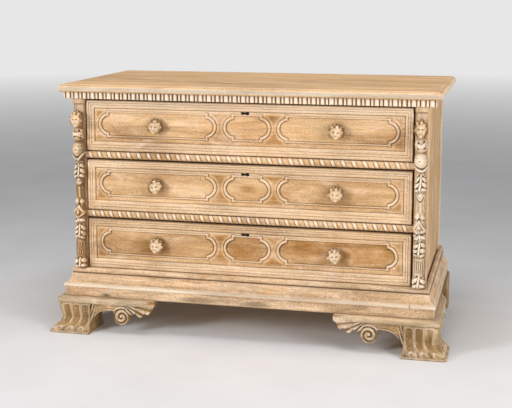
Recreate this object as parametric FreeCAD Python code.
"""Carved walnut commode: three long drawers in a framed case on front paw feet.

Millimetres, +Z up, the front towards -Y, the origin on the floor under the middle of the whole piece.
Each named part is written to parts/NAME.step in its place in the assembly, with the drawers shut and unlocked.
"""

import FreeCAD, Part
import math
import os

Vec = FreeCAD.Vector

# Driving sizes of the case
CASE_WIDTH = 1376.0            # over the corner posts
CASE_DEPTH = 700.0             # from the drawer faces to the back of the case
POST_WIDTH = 48.0
POST_DEPTH = 60.0
POST_SETBACK = 4.0             # post faces behind the drawer faces
REAR_POST_WIDTH = 44.0
REAR_POST_DEPTH = 70.0
PANEL_THICKNESS = 16.0
PANEL_RECESS = 6.0             # side panels behind the outside of the posts
PANEL_GROOVE = 8.0
BACK_THICKNESS = 18.0
BACK_BOARD_COUNT = 3
BACK_LAP = 24.0                # width of back board let into each rear post
BOTTOM_THICKNESS = 18.0
RAIL_HEIGHT = 30.0
TENON_LENGTH = 28.0
TENON_THICKNESS = 16.0
TENON_SHOULDER = 4.0
RUNNER_WIDTH = 56.0
GUIDE_HEIGHT = 18.0
NAIL_SIZE = 3.5
NAIL_LENGTH = 40.0
NAIL_HEAD = 9.0
NAIL_HEAD_RISE = 2.5

# Driving sizes of the top and its cornice
TOP_EDGE_THICKNESS = 27.0
TOP_FIELD_RISE = 3.0
TOP_FIELD_INSET = 15.0
TOP_PLANK_COUNT = 3
TOP_OVERHANG_SIDE = 50.0
TOP_OVERHANG_FRONT = 38.0
TOP_OVERHANG_REAR = 20.0
TOP_NOSING_RADIUS = 11.0
TOP_UNDER_RADIUS = 8.0
CORNICE_HEIGHT = 27.0
CORNICE_REACH_FRONT = 24.0     # dentil crests in front of the drawer faces
CORNICE_REACH_SIDE = 30.0
CORNICE_FILLET = 5.0
DENTIL_COUNT = 43
DENTIL_WIDTH = 22.0
DENTIL_DEPTH = 10.0
DENTIL_ROUND = 4.0             # how far a dentil's crest stands before its edges

# Driving sizes of the base and feet
PAW_HEIGHT = 116.0
FOOT_BAND_HEIGHT = 24.0
FOOT_BAND_REACH = 62.0
FOOT_BAND_ROUND = 5.0
PLINTH_HEIGHT = 88.0
PLINTH_REACH = 42.0
PLINTH_FACE = 40.0             # height of the upright face
PLINTH_FILLET = 10.0
PLINTH_TOP_REACH = 17.0
PLINTH_NECK = 12.0             # height of the upright neck under the bead
BASE_BEAD_HEIGHT = 23.0
BASE_BEAD_REACH = 16.0
BASE_BEAD_ROUND = 6.0
TOE_REACH = 88.0               # toes in front of the drawer faces
PAW_INNER = 72.0               # paw and rear foot inside the outer corner of the case
PAW_TOP_REACH = 58.0
PAW_WAIST_REACH = 52.0
PAW_LOBE = 7.0                 # depth of the valleys between toes
SOLE_INSET = 3.0               # toes drawn in at the floor
TOE_COUNT = 3
BRACKET_LENGTH = 338.0         # from the case corner to the tip of the leaf
BRACKET_BACK = 22.0
BRACKET_REACH = 54.0
LEAF_LENGTH = 137.0            # from the middle of the volute to the tip of the leaf
VOLUTE_DROP = 70.0             # volute centre under the plinth
VOLUTE_RADIUS = 33.0
VOLUTE_RELIEF = 5.0
VOLUTE_RING = (0.70, 0.94)     # inside and outside of the raised ring, in volute radii
VOLUTE_BOSS = 0.36             # raised middle, in volute radii
VOLUTE_JOIN = 22.0             # degrees above level where the leaf and the arch meet the volute
LEAF_DROP = 72.0               # lowest leaf tip under the plinth
LEAF_CURL = 26.0               # rounded end of the leaf
ARCH_DROP = 48.0               # arch crown under the plinth
ARCH_SWEEP = 52.0              # fall of the arch towards the paw
REAR_FOOT_REACH = 46.0
REAR_FOOT_DEPTH = 90.0
REAR_FOOT_SWEEP = 120.0        # length of the curved bracket in front of the rear foot
GLUE_BLOCK = 56.0

# Driving sizes of the drawers
DRAWER_FRONT_HEIGHT = 200.0
DRAWER_GAP_ABOVE = 3.0
DRAWER_GAP_BELOW = 1.0
DRAWER_GAP_SIDE = 3.0
DRAWER_REAR_GAP = 32.0         # drawer back to the back boards
FRONT_THICKNESS = 30.0
FRONT_LIP = 3.0                # front wider than the box at each end
SIDE_THICKNESS = 14.0
SIDE_HEIGHT = 178.0
SIDE_LIFT = 0.5                # sides clear of the runners
GUIDE_CLEARANCE = 2.0
DRAWER_BACK_THICKNESS = 12.0
DRAWER_BACK_DROP = 8.0
DRAWER_BOTTOM_THICKNESS = 10.0
BOTTOM_GROOVE = 6.0
BOTTOM_GROOVE_LIFT = 8.0
GROOVE_CLEARANCE = 0.4
TAIL_COUNT = 3
TAIL_LENGTH = 16.0
TAIL_TIP = 38.0
TAIL_ROOT = 30.0
BORDER_WIDTH = 32.0
FIELD_DEPTH = 9.0              # sunk field behind the border
FIELD_GROOVE_INSET = 29.5      # groove where the border meets the field
FIELD_GROOVE_DEPTH = 1.5
CARTOUCHE_HALF_HEIGHT = 46.0   # measured to the middle of the bead
CARTOUCHE_SPACING = 350.0      # long cartouches from the middle of the drawer
LONG_CARTOUCHE_STRAIGHT = 374.0
SHORT_CARTOUCHE_STRAIGHT = 92.0
LOBE_RADIUS = 38.0
LOBE_SHIFT = 5.0
BEAD_HALF_WIDTH = 5.0
BEAD_RISE = 4.5
BEAD_GROOVE_WIDTH = 4.0
BEAD_GROOVE_DEPTH = 2.5
KNOB_SPACING = 352.0           # knobs from the middle of the drawer
KNOB_HALF_WIDTH = 25.0
KNOB_HALF_HEIGHT = 27.0
KNOB_REACH = 38.0              # in front of the sunk field
KNOB_NECK_RADIUS = 13.0
KNOB_FACE_INSET = 5.0          # face narrower than the hair on each side
KNOB_HAIR_ROLL = 8.0
KNOB_HAIR_SHIFT = 2.0          # hair behind and above the middle of the face
SPIGOT_RADIUS = 8.0
SPIGOT_CLEARANCE = 0.2

# Mouldings of a drawer front's border from its edge inwards: inset and depth behind the face
BORDER_STEPS = ((0.0, 2.0), (2.0, 0.0), (13.0, 0.4), (14.5, 3.0), (16.0, 1.5), (21.0, 2.5), (28.0, 7.0))

# Driving sizes of the locks
LOCK_WIDTH = 70.0
LOCK_HEIGHT = 58.0
LOCK_DEPTH = 14.0
LOCK_WALL = 2.5
LOCK_CLEARANCE = 0.3
BOLT_WIDTH = 28.0
BOLT_THICKNESS = 7.0
BOLT_HEIGHT = 33.0
BOLT_TRAVEL = 9.0
TALON_WIDTH = 10.0
TALON_HEIGHT = 8.0
KEYHOLE_DROP = 38.0            # keyhole under the top edge of the front
KEYHOLE_RADIUS = 6.0
KEYHOLE_LENGTH = 30.0
KEYHOLE_SLOT = 7.0

# Driving sizes of the rope mouldings and pilasters
ROPE_PITCH = 38.0
ROPE_LEAN = 30.0               # degrees from upright
ROPE_GROOVE = 4.5
ROPE_PLAIN_END = 24.0
PILASTER_STRIP = 5.0
PILASTER_HALF_WIDTH = 22.0
PILASTER_SPREAD_IN = 2.0       # carving past the post towards the drawers
PILASTER_SPREAD_OUT = 4.0      # carving past the post towards the side
CAPITAL_HEIGHT = 18.0
CAPITAL_REACH = 16.0
HEAD_CLEAR = 26.0              # plain ground over the head

SWAG_HEIGHT = 14.0
SWAG_RADIUS = 17.0
SWAG_REACH = 26.0
SWAG_LIFT = 3.0                # swag let up into the belly
STEM_TOP_HALF = 8.0
STEM_FOOT_HALF = 16.0
STEM_LAP = 6.0                 # stem let into the forms over and under it
FLUTE_HEIGHT = 61.0
FLUTE_HALF_WIDTH = 19.0
FLUTE_REACH = 16.0
FLUTE_SPACING = 12.16
FLUTE_RADIUS = 5.13
FLUTE_SHALLOW = 1.0            # middle of a flute in front of the block

# Rounded forms of a pilaster from the head down: height, half width, reach in front of the post, and the
# share of its height that each form fills, so that neighbours run into one another
HEAD = (73.0, 24.0, 46.0, 1.0)
CHEST = (44.0, 25.0, 34.0, 1.25)
BELLY = (62.0, 24.0, 40.0, 1.12)
UPPER_LEAF = (77.0, 21.0, 22.0, 1.1)
KNOT = (24.0, 18.0, 18.0, 1.15)
CABOCHON = (52.0, 23.0, 26.0, 1.15)
LEAF_CLUSTER = (24.0, 23.0, 24.0, 1.15)
HUSK = (69.0, 21.0, 22.0, 1.15)
FOOT_LEAF = (51.0, 23.0, 24.0, 1.05)

# Heights worked out from the floor up
DRAWERS = ("lower", "middle", "upper")
OPENING_HEIGHT = DRAWER_GAP_BELOW + DRAWER_FRONT_HEIGHT + DRAWER_GAP_ABOVE
Z_BAND = PAW_HEIGHT
Z_PLINTH = Z_BAND + FOOT_BAND_HEIGHT
Z_BEAD = Z_PLINTH + PLINTH_HEIGHT
Z_OPENING = Z_BEAD + BASE_BEAD_HEIGHT
Z_CORNICE = Z_OPENING + len(DRAWERS) * OPENING_HEIGHT + (len(DRAWERS) - 1) * RAIL_HEIGHT
Z_TOP = Z_CORNICE + CORNICE_HEIGHT

# Planes worked out from the driving sizes
HALF_WIDTH = CASE_WIDTH / 2
OPENING_HALF = HALF_WIDTH - POST_WIDTH
FACE_Y = TOE_REACH - (TOE_REACH + CASE_DEPTH + TOP_OVERHANG_REAR) / 2
CASE_Y = FACE_Y + POST_SETBACK
POST_BACK_Y = CASE_Y + POST_DEPTH
BACK_Y = FACE_Y + CASE_DEPTH
REAR_POST_Y = BACK_Y - REAR_POST_DEPTH
BACK_HALF = HALF_WIDTH - REAR_POST_WIDTH + BACK_LAP
PANEL_INSIDE = HALF_WIDTH - PANEL_RECESS - PANEL_THICKNESS
FRONT_HALF = OPENING_HALF - DRAWER_GAP_SIDE
BOX_HALF = FRONT_HALF - FRONT_LIP
FRONT_BACK_Y = FACE_Y + FRONT_THICKNESS
BOX_END_Y = BACK_Y - BACK_THICKNESS - DRAWER_REAR_GAP
FIELD_Y = FACE_Y + FIELD_DEPTH
PILASTER_X = OPENING_HALF + POST_WIDTH / 2
VOLUTE_FROM_CORNER = BRACKET_LENGTH - LEAF_LENGTH


def opening_bottom(index):
    """Height of the floor of a drawer opening, counted from the lowest."""
    return Z_OPENING + index * (OPENING_HEIGHT + RAIL_HEIGHT)


def box(x, y, z):
    """Box between two values on each axis."""
    return Part.makeBox(x[1] - x[0], y[1] - y[0], z[1] - z[0], Vec(x[0], y[0], z[0]))


def mirrored(shape):
    """The same piece on the other side of the commode."""
    return shape.mirror(Vec(0, 0, 0), Vec(1, 0, 0))


def outline(points, place):
    """Closed wire through flat points; a point written ("arc", via, end) is reached along an arc."""
    edges = []
    here = place(*points[0])
    for step in points[1:] + points[:1]:
        if step[0] == "arc":
            end = place(*step[2])
            edges.append(Part.Arc(here, place(*step[1]), end).toShape())
        else:
            end = place(*step)
            if here.distanceToPoint(end) < 1e-6:
                continue
            edges.append(Part.LineSegment(here, end).toShape())
        here = end
    return Part.Wire(edges)


def prism(points, place, along):
    """Solid from a flat outline pushed along a vector."""
    return Part.Face(outline(points, place)).extrude(along)


def ellipsoid(centre, half_x, half_y, half_z):
    """Rounded solid with three half sizes."""
    matrix = FreeCAD.Matrix()
    matrix.scale(half_x, half_y, half_z)
    matrix.move(centre)
    return Part.makeSphere(1.0).transformGeometry(matrix)


def top_planks():
    """Three glued planks with a nosing round the front and ends, and a low raised field."""
    half = HALF_WIDTH + TOP_OVERHANG_SIDE
    front = FACE_Y - TOP_OVERHANG_FRONT
    back = BACK_Y + TOP_OVERHANG_REAR
    edge_top = Z_TOP + TOP_EDGE_THICKNESS
    slab = box((-half, half), (front, back), (Z_TOP, edge_top))
    for height, radius in ((edge_top, TOP_NOSING_RADIUS), (Z_TOP, TOP_UNDER_RADIUS)):
        edges = []
        for edge in slab.Edges:
            box_of_edge = edge.BoundBox
            level = abs(box_of_edge.ZMin - height) + abs(box_of_edge.ZMax - height) < 1e-6
            if level and box_of_edge.YMin < back - 1.0:
                edges.append(edge)
        slab = slab.makeFillet(radius, edges)
    field = box(
        (-half + TOP_FIELD_INSET, half - TOP_FIELD_INSET),
        (front + TOP_FIELD_INSET, back),
        (edge_top, edge_top + TOP_FIELD_RISE),
    )
    board = slab.fuse(field)
    plank_width = (back - front) / TOP_PLANK_COUNT
    planks = []
    for number in range(TOP_PLANK_COUNT):
        start = front + number * plank_width
        slice_box = box((-half, half), (start, start + plank_width), (Z_TOP, edge_top + TOP_FIELD_RISE))
        planks.append(board.common(slice_box).removeSplitter())
    return Part.makeCompound(planks)


def cornice_front():
    """Band of round-faced dentils under the front edge of the top."""
    half = HALF_WIDTH + CORNICE_REACH_SIDE
    crest = FACE_Y - CORNICE_REACH_FRONT
    shoulder = crest + DENTIL_ROUND
    ground = crest + DENTIL_DEPTH
    pitch = 2 * half / DENTIL_COUNT
    points = [(-half, CASE_Y), (-half, ground)]
    for number in range(DENTIL_COUNT):
        middle = -half + (number + 0.5) * pitch
        left = middle - DENTIL_WIDTH / 2
        right = middle + DENTIL_WIDTH / 2
        points += [(left, ground), (left, shoulder)]
        points += [("arc", (middle, crest), (right, shoulder)), (right, ground)]
    points += [(half, ground), (half, CASE_Y)]
    return prism(points, lambda x, y: Vec(x, y, Z_CORNICE), Vec(0, 0, CORNICE_HEIGHT))


def cornice_side():
    """Cove moulding under the right end of the top."""
    reach = CORNICE_REACH_SIDE
    lip_z = Z_TOP - CORNICE_FILLET
    foot_z = Z_CORNICE + CORNICE_FILLET / 2
    hollow = (CORNICE_FILLET + reach * 0.22, lip_z - (lip_z - foot_z) * 0.22)
    points = [
        (0, Z_CORNICE),
        (CORNICE_FILLET, Z_CORNICE),
        (CORNICE_FILLET, foot_z),
        ("arc", hollow, (reach, lip_z)),
        (reach, Z_TOP),
        (0, Z_TOP),
    ]
    return prism(points, lambda p, z: Vec(HALF_WIDTH + p, CASE_Y, z), Vec(0, BACK_Y - CASE_Y, 0))


def rail_levels():
    """Bottom and top height of each rail between the posts."""
    levels = {"bottom_rail": (Z_OPENING - RAIL_HEIGHT, Z_OPENING)}
    for index, name in ((1, "drawer_rail_lower"), (2, "drawer_rail_upper")):
        levels[name] = (opening_bottom(index) - RAIL_HEIGHT, opening_bottom(index))
    levels["top_rail"] = (Z_CORNICE, Z_TOP)
    return levels


def rail_tenon(level):
    """Tenon on the right end of a rail."""
    middle = (CASE_Y + POST_BACK_Y) / 2
    return box(
        (OPENING_HALF, OPENING_HALF + TENON_LENGTH),
        (middle - TENON_THICKNESS / 2, middle + TENON_THICKNESS / 2),
        (level[0] + TENON_SHOULDER, level[1] - TENON_SHOULDER),
    )


def bolt_pocket(level):
    """Hollow in the underside of a rail that takes the lock bolt of the drawer below it."""
    y0, y1 = bolt_planes()
    half = BOLT_WIDTH / 2 + 2 * LOCK_CLEARANCE
    return box(
        (-half, half),
        (y0 - 2 * LOCK_CLEARANCE, y1 + 2 * LOCK_CLEARANCE),
        (level[0], level[0] + BOLT_TRAVEL),
    )


def rail(name):
    """Rail between the posts, tenoned at both ends."""
    level = rail_levels()[name]
    bar = box((-OPENING_HALF, OPENING_HALF), (CASE_Y, POST_BACK_Y), level)
    tenon = rail_tenon(level)
    bar = bar.fuse([tenon, mirrored(tenon)]).removeSplitter()
    if name != "bottom_rail":
        bar = bar.cut(bolt_pocket(level))
    return bar


def rope_moulding(name):
    """Half-round moulding on a drawer rail, cut with leaning grooves like a rope."""
    low, high = rail_levels()[name]
    radius = (high - low) / 2
    middle = (low + high) / 2
    half_disc = [(CASE_Y, low), ("arc", (CASE_Y - radius, middle), (CASE_Y, high))]
    rod = prism(half_disc, lambda y, z: Vec(-OPENING_HALF, y, z), Vec(2 * OPENING_HALF, 0, 0))
    groove_count = int((2 * OPENING_HALF - 2 * ROPE_PLAIN_END) / ROPE_PITCH) + 1
    first = -(groove_count - 1) * ROPE_PITCH / 2
    cutters = []
    for number in range(groove_count):
        groove = [(0, radius - ROPE_GROOVE), (ROPE_GROOVE, radius + 2), (-ROPE_GROOVE, radius + 2)]
        ring = Part.Face(outline(groove, lambda x, r: Vec(x, -r, 0))).revolve(Vec(0, 0, 0), Vec(1, 0, 0), 360)
        ring.rotate(Vec(0, 0, 0), Vec(0, 1, 0), ROPE_LEAN)
        ring.translate(Vec(first + number * ROPE_PITCH, CASE_Y, middle))
        cutters.append(ring)
    return rod.cut(cutters)


def side_panel():
    """Right side panel, let into grooves in both posts."""
    outside = HALF_WIDTH - PANEL_RECESS
    return box(
        (outside - PANEL_THICKNESS, outside),
        (POST_BACK_Y - PANEL_GROOVE, REAR_POST_Y + PANEL_GROOVE),
        (Z_PLINTH, Z_TOP),
    )


def corner_post():
    """Right front post with its mortises and panel groove, standing on the paw foot."""
    post = box((OPENING_HALF, HALF_WIDTH), (CASE_Y, POST_BACK_Y), (Z_BAND, Z_TOP))
    hollows = [rail_tenon(level) for level in rail_levels().values()]
    return post.cut(hollows + [side_panel()])


def back_boards_level(number):
    """Bottom and top height of one back board."""
    height = (Z_TOP - Z_PLINTH) / BACK_BOARD_COUNT
    return Z_PLINTH + number * height, Z_PLINTH + (number + 1) * height


def nails():
    """Rose-headed nails that hold the back boards to the rear posts."""
    x = BACK_HALF - BACK_LAP / 2
    half = NAIL_SIZE / 2
    head_half = NAIL_HEAD / 2
    made = []
    for number in range(BACK_BOARD_COUNT):
        low, high = back_boards_level(number)
        for share in (0.25, 0.75):
            z = low + share * (high - low)
            shank = box((x - half, x + half), (BACK_Y - NAIL_LENGTH, BACK_Y), (z - half, z + half))
            squares = []
            for size, y in ((head_half, BACK_Y), (half, BACK_Y + NAIL_HEAD_RISE)):
                corners = [(-size, -size), (size, -size), (size, size), (-size, size)]
                squares.append(outline(corners, lambda a, b: Vec(x + a, y, z + b)))
            nail = shank.fuse(Part.makeLoft(squares, True, True)).removeSplitter()
            made += [nail, mirrored(nail)]
    return Part.makeCompound(made)


def rear_post():
    """Right rear post with a rebate for the back boards."""
    post = box((HALF_WIDTH - REAR_POST_WIDTH, HALF_WIDTH), (REAR_POST_Y, BACK_Y), (Z_BAND, Z_TOP))
    rebate = box((0, BACK_HALF), (BACK_Y - BACK_THICKNESS, BACK_Y), (Z_PLINTH, Z_TOP))
    return post.cut([side_panel(), rebate, nails()])


def back_boards():
    """Horizontal boards that close the back."""
    boards = []
    for number in range(BACK_BOARD_COUNT):
        level = back_boards_level(number)
        board = box((-BACK_HALF, BACK_HALF), (BACK_Y - BACK_THICKNESS, BACK_Y), level)
        boards.append(board.cut(nails()))
    return Part.makeCompound(boards)


def drawer_runners():
    """Runners under each drawer and the kickers over the top one, along both sides."""
    strips = []
    levels = [(opening_bottom(i) - RAIL_HEIGHT, opening_bottom(i)) for i in range(len(DRAWERS))]
    for level in levels + [(Z_CORNICE, Z_TOP)]:
        strip = box((PANEL_INSIDE - RUNNER_WIDTH, PANEL_INSIDE), (POST_BACK_Y, REAR_POST_Y), level)
        strips += [strip, mirrored(strip)]
    return Part.makeCompound(strips)


def drawer_guides():
    """Strips on the runners that keep the drawers from wandering sideways."""
    strips = []
    for index in range(len(DRAWERS)):
        floor = opening_bottom(index)
        inside = BOX_HALF + GUIDE_CLEARANCE
        strip = box((inside, PANEL_INSIDE), (POST_BACK_Y, REAR_POST_Y), (floor, floor + GUIDE_HEIGHT))
        strips += [strip, mirrored(strip)]
    return Part.makeCompound(strips)


def bottom_board():
    """Board that closes the case under the lowest runners."""
    top = Z_OPENING - RAIL_HEIGHT
    board = box(
        (-PANEL_INSIDE, PANEL_INSIDE),
        (POST_BACK_Y, BACK_Y - BACK_THICKNESS),
        (top - BOTTOM_THICKNESS, top),
    )
    notch = box(
        (HALF_WIDTH - REAR_POST_WIDTH, HALF_WIDTH),
        (REAR_POST_Y, BACK_Y),
        (top - BOTTOM_THICKNESS, top),
    )
    return board.cut([notch, mirrored(notch)])


def glue_blocks():
    """Four blocks under the bottom board, beside the posts."""
    top = Z_OPENING - RAIL_HEIGHT - BOTTOM_THICKNESS
    front = box(
        (OPENING_HALF - GLUE_BLOCK, OPENING_HALF),
        (POST_BACK_Y - GLUE_BLOCK / 2, POST_BACK_Y + GLUE_BLOCK / 2),
        (Z_BAND, top),
    )
    rear_x = HALF_WIDTH - REAR_POST_WIDTH
    rear_y = BACK_Y - BACK_THICKNESS
    rear = box((rear_x - GLUE_BLOCK, rear_x), (rear_y - GLUE_BLOCK, rear_y), (Z_BAND, top))
    return Part.makeCompound([front, mirrored(front), rear, mirrored(rear)])


def moulding(profile, reach):
    """Front and right side lengths of a moulding round the case, mitred at the corners."""
    low = min(point[1] for point in profile if point[0] != "arc")
    high = max(point[1] for point in profile if point[0] != "arc")
    far = HALF_WIDTH + reach
    front_bar = prism(profile, lambda p, z: Vec(-far, CASE_Y - p, z), Vec(2 * far, 0, 0))
    side_bar = prism(profile, lambda p, z: Vec(HALF_WIDTH + p, CASE_Y - reach, z), Vec(0, BACK_Y - CASE_Y + reach, 0))
    front_plan = [
        (-HALF_WIDTH, CASE_Y),
        (-far, CASE_Y - reach),
        (far, CASE_Y - reach),
        (HALF_WIDTH, CASE_Y),
    ]
    side_plan = [
        (HALF_WIDTH, CASE_Y),
        (far, CASE_Y - reach),
        (far, BACK_Y),
        (HALF_WIDTH, BACK_Y),
    ]
    rise = Vec(0, 0, high - low)
    front = front_bar.common(prism(front_plan, lambda x, y: Vec(x, y, low), rise))
    side = side_bar.common(prism(side_plan, lambda x, y: Vec(x, y, low), rise))
    return front, side


def base_bead():
    """Rounded moulding under the lowest drawer."""
    shoulder = BASE_BEAD_REACH - BASE_BEAD_ROUND
    middle = (Z_BEAD + Z_OPENING) / 2
    profile = [
        (0, Z_BEAD),
        (shoulder, Z_BEAD),
        ("arc", (BASE_BEAD_REACH, middle), (shoulder, Z_OPENING)),
        (0, Z_OPENING),
    ]
    return moulding(profile, BASE_BEAD_REACH + BASE_BEAD_ROUND)


def plinth():
    """Base moulding: upright face, fillet and a hollow slope up to a neck."""
    face_top = Z_PLINTH + PLINTH_FACE
    slope_foot = face_top + PLINTH_FILLET
    slope_top = Z_BEAD - PLINTH_NECK
    set_in = PLINTH_REACH - PLINTH_FILLET / 2
    hollow_p = PLINTH_TOP_REACH + (set_in - PLINTH_TOP_REACH) * 0.42
    hollow_z = slope_foot + (slope_top - slope_foot) * 0.44
    profile = [
        (0, Z_PLINTH),
        (set_in, Z_PLINTH),
        (set_in, face_top),
        (PLINTH_REACH, face_top),
        (PLINTH_REACH, slope_foot),
        (set_in, slope_foot),
        ("arc", (hollow_p, hollow_z), (PLINTH_TOP_REACH, slope_top)),
        (PLINTH_TOP_REACH, Z_BEAD),
        (0, Z_BEAD),
    ]
    return moulding(profile, PLINTH_REACH)


def scroll_bracket():
    """Front right bracket beside the paw: moulded band, volute and leaf."""
    def front(s, z):
        return Vec(HALF_WIDTH - s, CASE_Y - BRACKET_BACK, z)

    leaf_end = BRACKET_LENGTH - LEAF_CURL
    tip = Z_PLINTH - LEAF_DROP
    volute_z = Z_PLINTH - VOLUTE_DROP
    arch_z = Z_PLINTH - ARCH_DROP
    chord = VOLUTE_RADIUS * math.cos(math.radians(VOLUTE_JOIN))
    rise = VOLUTE_RADIUS * math.sin(math.radians(VOLUTE_JOIN))
    leaf_side = VOLUTE_FROM_CORNER + chord
    arch_side = VOLUTE_FROM_CORNER - chord
    lobe = (leaf_end - leaf_side) / 3
    notch_z = tip + 0.45 * lobe
    points = [(PAW_INNER, Z_PLINTH), (BRACKET_LENGTH, Z_PLINTH)]
    curl_via = (BRACKET_LENGTH - 0.2 * LEAF_CURL, Z_PLINTH - 0.55 * (LEAF_DROP - LEAF_CURL))
    points.append(("arc", curl_via, (leaf_end, tip + LEAF_CURL)))
    first = leaf_end - lobe
    points.append(("arc", (first + lobe / 2, tip + 0.4 * lobe), (first, notch_z)))
    second = first - lobe
    points.append(("arc", (second + lobe / 2, tip), (second, notch_z)))
    points.append(("arc", (leaf_side + lobe / 2, tip + 0.25 * lobe), (leaf_side, volute_z + rise)))
    points.append(("arc", (VOLUTE_FROM_CORNER, volute_z - VOLUTE_RADIUS), (arch_side, volute_z + rise)))
    points.append((arch_side, arch_z))
    arch_via = (PAW_INNER + 0.32 * (arch_side - PAW_INNER), arch_z - 0.21 * ARCH_SWEEP)
    points.append(("arc", arch_via, (PAW_INNER, arch_z - ARCH_SWEEP)))
    thickness = BRACKET_REACH - BRACKET_BACK
    board = prism(points, front, Vec(0, -thickness, 0))

    band_end = BRACKET_LENGTH - 1.5 * LEAF_CURL
    round_p = FOOT_BAND_REACH - FOOT_BAND_ROUND
    band_profile = [
        (0, Z_BAND),
        (round_p, Z_BAND),
        ("arc", (FOOT_BAND_REACH, (Z_BAND + Z_PLINTH) / 2), (round_p, Z_PLINTH)),
        (0, Z_PLINTH),
    ]
    reach = FOOT_BAND_REACH
    corner = HALF_WIDTH + reach
    band = prism(band_profile, lambda p, z: Vec(HALF_WIDTH - band_end, CASE_Y - p, z), Vec(band_end + reach, 0, 0))
    plan = [
        (HALF_WIDTH - band_end, CASE_Y),
        (HALF_WIDTH, CASE_Y),
        (corner, CASE_Y - reach),
        (HALF_WIDTH - band_end, CASE_Y - reach),
    ]
    band = band.common(prism(plan, lambda x, y: Vec(x, y, Z_BAND), Vec(0, 0, FOOT_BAND_HEIGHT)))

    face_y = CASE_Y - BRACKET_REACH
    centre = Vec(HALF_WIDTH - VOLUTE_FROM_CORNER, face_y, volute_z)

    def disc(share):
        return Part.makeCylinder(VOLUTE_RADIUS * share, VOLUTE_RELIEF, centre, Vec(0, -1, 0))

    inside, outside = VOLUTE_RING
    ring = disc(outside).cut(disc(inside))
    return board.fuse([band, ring, disc(VOLUTE_BOSS)]).removeSplitter()


def beside_corner(shape):
    """The front right piece turned over the corner to the right side."""
    return shape.mirror(Vec(HALF_WIDTH, CASE_Y, 0), Vec(1, 1, 0))


def paw_foot():
    """Front right foot: three toes on the front and on the side, swelling over a waist and spreading on the floor."""
    toe = TOE_REACH + POST_SETBACK
    waist = PAW_WAIST_REACH
    spread = toe - waist
    swell = PAW_TOP_REACH - waist
    stations = [
        (0.0, toe - SOLE_INSET),
        (0.07, toe),
        (0.17, waist + 0.72 * spread),
        (0.30, waist + 0.26 * spread),
        (0.48, waist),
        (0.70, waist + swell),
        (0.87, waist + 1.5 * swell),
        (1.0, waist + swell),
    ]
    sections = []
    for share, reach in stations:
        valley = reach - PAW_LOBE
        run = PAW_INNER + valley
        points = [(PAW_INNER, PAW_INNER), (PAW_INNER, -valley)]
        for number in range(TOE_COUNT):
            via = PAW_INNER - (number + 0.5) * run / TOE_COUNT
            end = PAW_INNER - (number + 1) * run / TOE_COUNT
            points.append(("arc", (via, -reach), (end, -valley)))
        for number in range(TOE_COUNT):
            via = -valley + (number + 0.5) * run / TOE_COUNT
            end = -valley + (number + 1) * run / TOE_COUNT
            points.append(("arc", (-reach, via), (-valley, end)))
        height = share * PAW_HEIGHT
        sections.append(outline(points, lambda s, t: Vec(HALF_WIDTH - s, CASE_Y + t, height)))
    return Part.makeLoft(sections, True, False)


def rear_foot():
    """Right rear foot: a plain block with a curved bracket along the side."""
    block = box(
        (HALF_WIDTH - PAW_INNER, HALF_WIDTH),
        (BACK_Y - REAR_FOOT_DEPTH, BACK_Y),
        (0, Z_BAND),
    )
    front_y = BACK_Y - REAR_FOOT_DEPTH
    sweep_y = front_y - REAR_FOOT_SWEEP
    points = [
        (BACK_Y, 0),
        (front_y, 0),
        ("arc", (front_y - REAR_FOOT_SWEEP * 0.22, PAW_HEIGHT * 0.62), (sweep_y, Z_BAND)),
        (sweep_y, Z_PLINTH),
        (BACK_Y, Z_PLINTH),
    ]
    board = prism(points, lambda y, z: Vec(HALF_WIDTH, y, z), Vec(REAR_FOOT_REACH, 0, 0))
    return block.fuse(board).removeSplitter()


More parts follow.
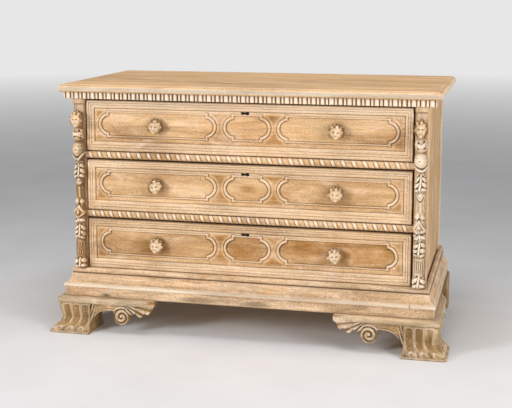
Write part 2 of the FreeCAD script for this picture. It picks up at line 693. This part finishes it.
def pilaster():
    """Right pilaster: a child's half figure over hanging leaves, carved on a strip."""
    low = Z_OPENING
    high = Z_CORNICE - CAPITAL_HEIGHT
    strip = box(
        (PILASTER_X - PILASTER_HALF_WIDTH, PILASTER_X + PILASTER_HALF_WIDTH),
        (CASE_Y - PILASTER_STRIP, CASE_Y),
        (low, high),
    )
    capital = box(
        (OPENING_HALF, HALF_WIDTH),
        (CASE_Y - CAPITAL_REACH, CASE_Y),
        (high, Z_CORNICE),
    )
    forms = [capital]
    level = high - HEAD_CLEAR

    def swelling(size, top):
        height, half_width, reach, filled = size
        middle = Vec(PILASTER_X, CASE_Y, top - height / 2)
        return ellipsoid(middle, half_width, reach, filled * height / 2)

    for size in (HEAD, CHEST, BELLY):
        forms.append(swelling(size, level))
        level -= size[0]
    swag_middle = Vec(PILASTER_X, CASE_Y - SWAG_REACH / 2, level + SWAG_LIFT)
    forms.append(Part.makeTorus(SWAG_RADIUS, SWAG_HEIGHT / 2, swag_middle, Vec(0, 1, 0)))
    level -= SWAG_HEIGHT
    forms.append(swelling(UPPER_LEAF, level))
    level -= UPPER_LEAF[0]

    lower_forms = (KNOT, CABOCHON, LEAF_CLUSTER, HUSK)
    fluted_top = low + FOOT_LEAF[0] + FLUTE_HEIGHT
    stem_low = fluted_top + sum(size[0] for size in lower_forms)
    stem_outline = [
        (-STEM_TOP_HALF, level + STEM_LAP),
        (STEM_TOP_HALF, level + STEM_LAP),
        (STEM_FOOT_HALF, stem_low - STEM_LAP),
        (-STEM_FOOT_HALF, stem_low - STEM_LAP),
    ]
    forms.append(prism(stem_outline, lambda x, z: Vec(PILASTER_X + x, CASE_Y, z), Vec(0, -KNOT[2], 0)))
    level = stem_low
    for size in lower_forms:
        forms.append(swelling(size, level))
        level -= size[0]
    flute_low = level - FLUTE_HEIGHT
    block = box(
        (PILASTER_X - FLUTE_HALF_WIDTH, PILASTER_X + FLUTE_HALF_WIDTH),
        (CASE_Y - FLUTE_REACH, CASE_Y),
        (flute_low, level),
    )
    channels = []
    for place in (-1, 0, 1):
        centre = Vec(PILASTER_X + place * FLUTE_SPACING, CASE_Y - FLUTE_REACH - FLUTE_SHALLOW, flute_low)
        channels.append(Part.makeCylinder(FLUTE_RADIUS, FLUTE_HEIGHT, centre))
    forms.append(block.cut(channels))
    forms.append(swelling(FOOT_LEAF, flute_low))

    carving = strip.fuse(forms)
    room = box(
        (OPENING_HALF - PILASTER_SPREAD_IN, HALF_WIDTH + PILASTER_SPREAD_OUT),
        (CASE_Y - 2 * HEAD[2], CASE_Y),
        (low, Z_CORNICE),
    )
    return carving.common(room).removeSplitter()


def framed_board(low, high):
    """Drawer front board: a stepped border round a sunk field, as rectangles stacked from the back."""
    steps = [
        (0.0, FRONT_THICKNESS),
        *BORDER_STEPS,
        (FIELD_GROOVE_INSET, FIELD_DEPTH + FIELD_GROOVE_DEPTH),
        (BORDER_WIDTH, FIELD_DEPTH),
    ]
    rectangles = []
    for inset, depth in steps:
        half = FRONT_HALF - inset
        corners = [(-half, low + inset), (half, low + inset), (half, high - inset), (-half, high - inset)]
        rectangles.append(outline(corners, lambda x, z: Vec(x, FACE_Y + depth, z)))
    return Part.makeLoft(rectangles, True, True)


def cartouche_wire(middle_x, straight, offset, y, middle_z):
    """Outline with straight long sides, square shoulders and a round lobe at each end."""
    half = straight / 2 + offset
    height = CARTOUCHE_HALF_HEIGHT + offset
    radius = LOBE_RADIUS + offset
    lobe_middle = straight / 2 + LOBE_SHIFT
    shoulder = math.sqrt(radius ** 2 - (half - lobe_middle) ** 2)
    tip = lobe_middle + radius
    points = [
        (-half, height),
        (half, height),
        (half, shoulder),
        ("arc", (tip, 0), (half, -shoulder)),
        (half, -height),
        (-half, -height),
        (-half, -shoulder),
        ("arc", (-tip, 0), (-half, shoulder)),
    ]
    return outline(points, lambda x, z: Vec(middle_x + x, y, middle_z + z))


def cartouches(middle_z):
    """Grooves to cut and beads to add for the three cartouches of one drawer front."""
    grooves = []
    beads = []
    outer = BEAD_HALF_WIDTH + BEAD_GROOVE_WIDTH
    floor = FIELD_Y + BEAD_GROOVE_DEPTH
    places = (
        (-CARTOUCHE_SPACING, LONG_CARTOUCHE_STRAIGHT),
        (0.0, SHORT_CARTOUCHE_STRAIGHT),
        (CARTOUCHE_SPACING, LONG_CARTOUCHE_STRAIGHT),
    )
    rounding = ((1.0, 0.0), (0.82, 0.6), (0.45, 0.92), (0.12, 1.0))
    height = BEAD_RISE + BEAD_GROOVE_DEPTH
    for middle_x, straight in places:
        outside = Part.Face(cartouche_wire(middle_x, straight, outer, FIELD_Y, middle_z))
        inside = Part.Face(cartouche_wire(middle_x, straight, -outer, FIELD_Y, middle_z))
        depth = Vec(0, BEAD_GROOVE_DEPTH, 0)
        grooves.append(outside.extrude(depth).cut(inside.extrude(depth)))
        slopes = []
        for sign in (1, -1):
            wires = []
            for share, rise in rounding:
                y = floor - rise * height
                wires.append(cartouche_wire(middle_x, straight, sign * share * BEAD_HALF_WIDTH, y, middle_z))
            slopes.append(Part.makeLoft(wires, True, True))
        beads.append(slopes[0].cut(slopes[1]))
    return grooves, beads


def dovetails(side_low, root_y, tip_y):
    """Tails on one end of the right drawer side."""
    def inside(y, z):
        return Vec(BOX_HALF - SIDE_THICKNESS, y, z)

    tails = []
    pitch = SIDE_HEIGHT / TAIL_COUNT
    for number in range(TAIL_COUNT):
        middle = side_low + (number + 0.5) * pitch
        points = [
            (root_y, middle - TAIL_ROOT / 2),
            (tip_y, middle - TAIL_TIP / 2),
            (tip_y, middle + TAIL_TIP / 2),
            (root_y, middle + TAIL_ROOT / 2),
        ]
        tails.append(prism(points, inside, Vec(SIDE_THICKNESS, 0, 0)))
    return tails


def front_tails(side_low):
    """Tails let into the back of the drawer front."""
    return dovetails(side_low, FRONT_BACK_Y, FRONT_BACK_Y - TAIL_LENGTH)


def rear_tails(side_low):
    """Tails that pass through the drawer back."""
    return dovetails(side_low, BOX_END_Y - DRAWER_BACK_THICKNESS, BOX_END_Y)


def bottom_groove(side_low):
    """Room for the drawer bottom in the sides and the front."""
    half = BOX_HALF - SIDE_THICKNESS + BOTTOM_GROOVE
    low = side_low + BOTTOM_GROOVE_LIFT
    return box(
        (-half, half),
        (FRONT_BACK_Y - BOTTOM_GROOVE, BOX_END_Y),
        (low, low + DRAWER_BOTTOM_THICKNESS + GROOVE_CLEARANCE),
    )


def keyhole(top):
    """Keyhole lying on its side: a round end and a slot, through the front."""
    z = top - KEYHOLE_DROP
    eye_x = KEYHOLE_LENGTH / 2 - KEYHOLE_RADIUS
    depth = FRONT_THICKNESS - LOCK_DEPTH + 1
    eye = Part.makeCylinder(KEYHOLE_RADIUS, depth, Vec(eye_x, FACE_Y, z), Vec(0, 1, 0))
    slot = box(
        (-KEYHOLE_LENGTH / 2, eye_x),
        (FACE_Y, FACE_Y + depth),
        (z - KEYHOLE_SLOT / 2, z + KEYHOLE_SLOT / 2),
    )
    return eye.fuse(slot)


def drawer_front(low, high, side_low):
    """Carved front with the sockets of its sides, knobs and lock."""
    middle = (low + high) / 2
    grooves, beads = cartouches(middle)
    front = framed_board(low, high).cut(grooves)
    front = front.fuse(beads).removeSplitter()
    mortise = box(
        (-LOCK_WIDTH / 2, LOCK_WIDTH / 2),
        (FRONT_BACK_Y - LOCK_DEPTH, FRONT_BACK_Y),
        (high - LOCK_HEIGHT, high),
    )
    cuts = [mortise, keyhole(high), bottom_groove(side_low)]
    for tail in front_tails(side_low):
        cuts += [tail, mirrored(tail)]
    for x in (-KNOB_SPACING, KNOB_SPACING):
        radius = SPIGOT_RADIUS + SPIGOT_CLEARANCE
        cuts.append(Part.makeCylinder(radius, FRONT_THICKNESS, Vec(x, FACE_Y, middle), Vec(0, 1, 0)))
    return front.cut(cuts)


def drawer_sides(side_low):
    """Both sides, dovetailed at each end and grooved for the bottom."""
    side = box(
        (BOX_HALF - SIDE_THICKNESS, BOX_HALF),
        (FRONT_BACK_Y, BOX_END_Y - DRAWER_BACK_THICKNESS),
        (side_low, side_low + SIDE_HEIGHT),
    )
    side = side.fuse(front_tails(side_low) + rear_tails(side_low)).removeSplitter()
    side = side.cut(bottom_groove(side_low))
    return Part.makeCompound([side, mirrored(side)])


def drawer_back(side_low):
    """Back board over the edge of the bottom, with sockets for the tails."""
    low = bottom_groove(side_low).BoundBox.ZMax
    back = box(
        (-BOX_HALF, BOX_HALF),
        (BOX_END_Y - DRAWER_BACK_THICKNESS, BOX_END_Y),
        (low, side_low + SIDE_HEIGHT - DRAWER_BACK_DROP),
    )
    cuts = []
    for tail in rear_tails(side_low):
        cuts += [tail, mirrored(tail)]
    return back.cut(cuts)


def drawer_bottom(side_low):
    """Bottom board, slid in from behind."""
    half = BOX_HALF - SIDE_THICKNESS + BOTTOM_GROOVE - GROOVE_CLEARANCE
    low = side_low + BOTTOM_GROOVE_LIFT
    return box((-half, half), (FRONT_BACK_Y - BOTTOM_GROOVE, BOX_END_Y), (low, low + DRAWER_BOTTOM_THICKNESS))


def knob(x, z):
    """Carved mask knob: a round face in a roll of hair, on a spigot through the front."""
    spigot = Part.makeCylinder(SPIGOT_RADIUS, FRONT_THICKNESS - FIELD_DEPTH, Vec(x, FIELD_Y, z), Vec(0, 1, 0))
    half_depth = KNOB_REACH / 2
    face_y = FIELD_Y - KNOB_REACH + half_depth
    neck = Part.makeCylinder(KNOB_NECK_RADIUS, FIELD_Y - face_y, Vec(x, face_y, z), Vec(0, 1, 0))
    shift = KNOB_HAIR_SHIFT
    face_middle = Vec(x, face_y, z - shift)
    face = ellipsoid(face_middle, KNOB_HALF_WIDTH - KNOB_FACE_INSET, half_depth, KNOB_HALF_HEIGHT - shift)
    hair_middle = Vec(x, face_y + shift, z + shift)
    hair = Part.makeTorus(KNOB_HALF_WIDTH - KNOB_HAIR_ROLL, KNOB_HAIR_ROLL, hair_middle, Vec(0, 1, 0))
    return spigot.fuse([neck, face, hair]).removeSplitter()


def bolt_planes():
    """Front and back plane of the lock bolts."""
    back = FRONT_BACK_Y - LOCK_WALL - LOCK_CLEARANCE
    return back - BOLT_THICKNESS, back


def lock_case(top):
    """Iron lock let into the back of the front: a shallow case with a slot for the bolt."""
    half = LOCK_WIDTH / 2
    front_y = FRONT_BACK_Y - LOCK_DEPTH
    case = box((-half, half), (front_y, FRONT_BACK_Y), (top - LOCK_HEIGHT, top))
    inside = box(
        (-half + LOCK_WALL, half - LOCK_WALL),
        (front_y, FRONT_BACK_Y - LOCK_WALL),
        (top - LOCK_HEIGHT + LOCK_WALL, top - LOCK_WALL),
    )
    y0, y1 = bolt_planes()
    slot_half = BOLT_WIDTH / 2 + LOCK_CLEARANCE
    slot = box(
        (-slot_half, slot_half),
        (y0 - LOCK_CLEARANCE, y1 + LOCK_CLEARANCE),
        (top - LOCK_WALL, top),
    )
    pin_x = KEYHOLE_LENGTH / 2 - KEYHOLE_RADIUS
    pin_z = top - KEYHOLE_DROP
    pin_length = LOCK_DEPTH - LOCK_WALL
    pin = Part.makeCylinder(KEYHOLE_RADIUS / 3, pin_length, Vec(pin_x, front_y, pin_z), Vec(0, 1, 0))
    return case.cut([inside, slot]).fuse(pin).removeSplitter()


def lock_bolt(top):
    """Bolt drawn back into the case, with the notch that the key turns in."""
    half = BOLT_WIDTH / 2
    high = top - LOCK_CLEARANCE
    bolt = box((-half, half), bolt_planes(), (high - BOLT_HEIGHT, high))
    notch = box(
        (-TALON_WIDTH / 2, TALON_WIDTH / 2),
        bolt_planes(),
        (high - BOLT_HEIGHT, high - BOLT_HEIGHT + TALON_HEIGHT),
    )
    return bolt.cut(notch)


def drawer(index):
    """All parts of one drawer."""
    floor = opening_bottom(index)
    low = floor + DRAWER_GAP_BELOW
    high = low + DRAWER_FRONT_HEIGHT
    side_low = floor + SIDE_LIFT
    middle = (low + high) / 2
    name = "drawer_" + DRAWERS[index]
    knobs = [knob(x, middle) for x in (-KNOB_SPACING, KNOB_SPACING)]
    return {
        name + "_front": drawer_front(low, high, side_low),
        name + "_sides": drawer_sides(side_low),
        name + "_back": drawer_back(side_low),
        name + "_bottom": drawer_bottom(side_low),
        name + "_knobs": Part.makeCompound(knobs),
        name + "_lock": lock_case(high),
        name + "_bolt": lock_bolt(high),
    }


def commode():
    """Every part by name."""
    parts = {"top_planks": top_planks(), "cornice_front": cornice_front()}
    bead_front, bead_side = base_bead()
    plinth_front, plinth_side = plinth()
    bracket = scroll_bracket()
    pairs = {
        "cornice": cornice_side(),
        "corner_post": corner_post(),
        "pilaster": pilaster(),
        "side_panel": side_panel(),
        "rear_post": rear_post(),
        "base_bead": bead_side,
        "plinth": plinth_side,
        "paw_foot": paw_foot(),
        "rear_foot": rear_foot(),
        "front_bracket": bracket,
        "side_bracket": beside_corner(bracket),
    }
    for name, shape in pairs.items():
        parts[name + "_right"] = shape
        parts[name + "_left"] = mirrored(shape)
    for name in rail_levels():
        parts[name] = rail(name)
    parts["rope_lower"] = rope_moulding("drawer_rail_lower")
    parts["rope_upper"] = rope_moulding("drawer_rail_upper")
    parts["base_bead_front"] = bead_front
    parts["plinth_front"] = plinth_front
    parts["back_boards"] = back_boards()
    parts["back_nails"] = nails()
    parts["drawer_runners"] = drawer_runners()
    parts["drawer_guides"] = drawer_guides()
    parts["bottom_board"] = bottom_board()
    parts["glue_blocks"] = glue_blocks()
    for index in range(len(DRAWERS)):
        parts.update(drawer(index))
    return parts


os.makedirs("parts", exist_ok=True)
for part_name, part_shape in commode().items():
    part_shape.exportStep("parts/" + part_name + ".step")
